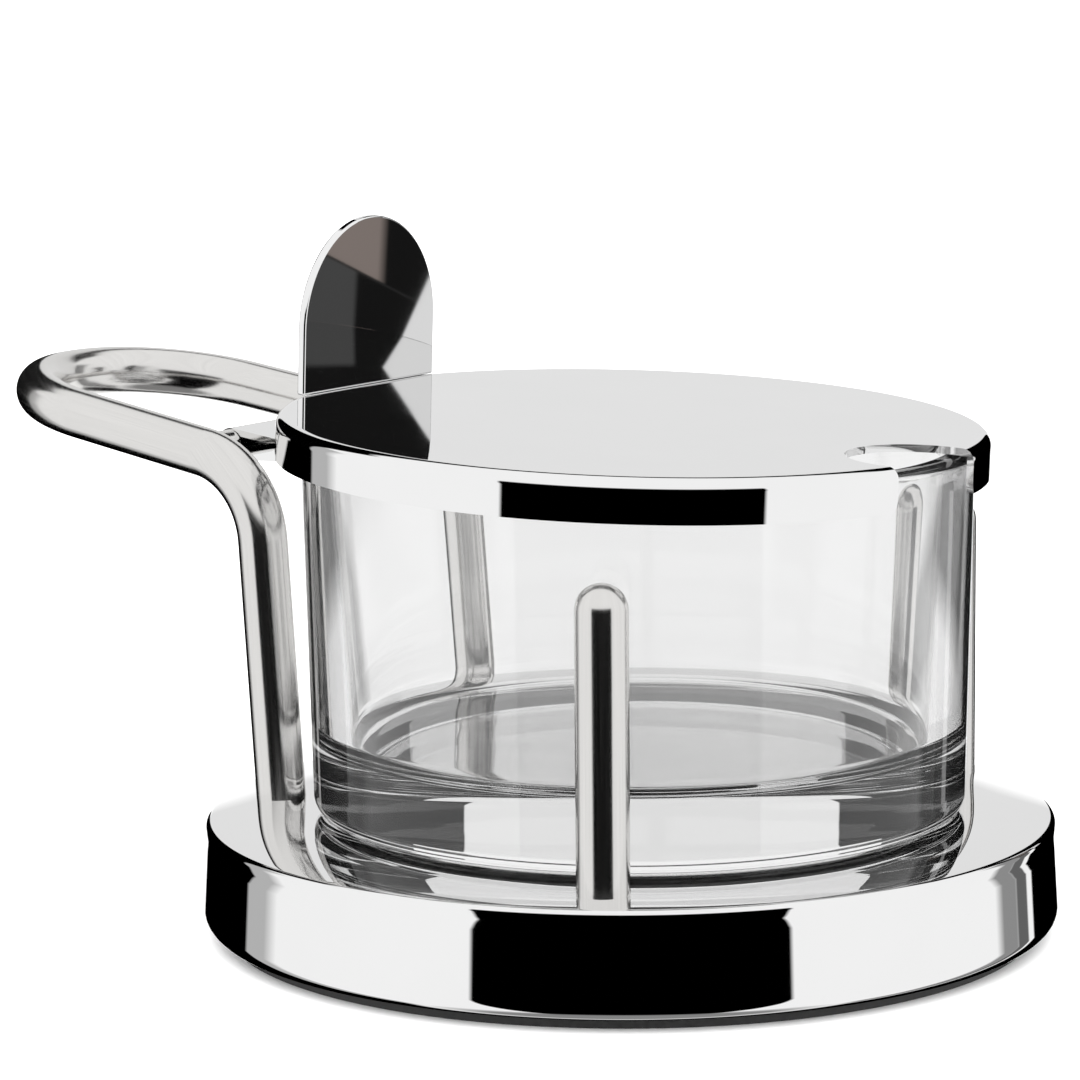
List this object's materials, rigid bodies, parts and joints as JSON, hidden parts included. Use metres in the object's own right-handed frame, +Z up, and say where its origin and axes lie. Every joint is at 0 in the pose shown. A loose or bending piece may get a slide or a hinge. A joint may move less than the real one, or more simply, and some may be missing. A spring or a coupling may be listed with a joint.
{
  "type": "grated cheese container",
  "caption": "Round table server: a loose glass bowl stands between posts and a bent-rod handle on a steel base, under a hinged notched lid with a thumb tab.",
  "frame": {"origin": "on the table, in the middle of the round base's underside", "axes": "+Z up; the handle points along -X and the spoon notch in the lid along +X; the part is mirror-symmetric about the XZ plane"},
  "size_m": [0.1438, 0.105, 0.086],
  "materials": {
    "mirror_steel": "mirror-polished stainless steel",
    "rod_steel": "polished round rod with fine scratches along it",
    "plain_steel": "plain zinc-plated steel",
    "clear_glass": "clear polished glass",
    "black_rubber": "matt black"
  },
  "bodies": {
    "base": {"base_shell": "mirror_steel", "anchor_disc": "plain_steel", "bottom_cover": "plain_steel", "base_pad": "black_rubber", "handle_loop": "rod_steel", "post_left": "rod_steel", "post_right": "rod_steel", "leg_screw_left": "plain_steel", "leg_screw_right": "plain_steel", "leg_washer_left": "plain_steel", "leg_washer_right": "plain_steel", "post_screw_left": "plain_steel", "post_screw_right": "plain_steel", "post_washer_left": "plain_steel", "post_washer_right": "plain_steel", "hinge_pin": "rod_steel", "hinge_sleeve_left": "rod_steel", "hinge_sleeve_right": "rod_steel"},
    "bowl": {"glass_bowl": "clear_glass"},
    "lid": {"lid": "mirror_steel", "thumb_tab": "mirror_steel", "hinge_strap": "mirror_steel"}
  },
  "joints": [
    {"name": "lid_hinge", "type": "hinge", "parent": "base", "child": "lid", "pos_m": [-0.0555, 0, 0.0568], "axis": [0, -1, 0], "range_deg": [0, 95]},
    {"name": "bowl_turn", "type": "hinge", "parent": "base", "child": "bowl", "pos_m": [0.0014, 0, 0.015], "axis": [0, 0, 1], "continuous": true}
  ]
}
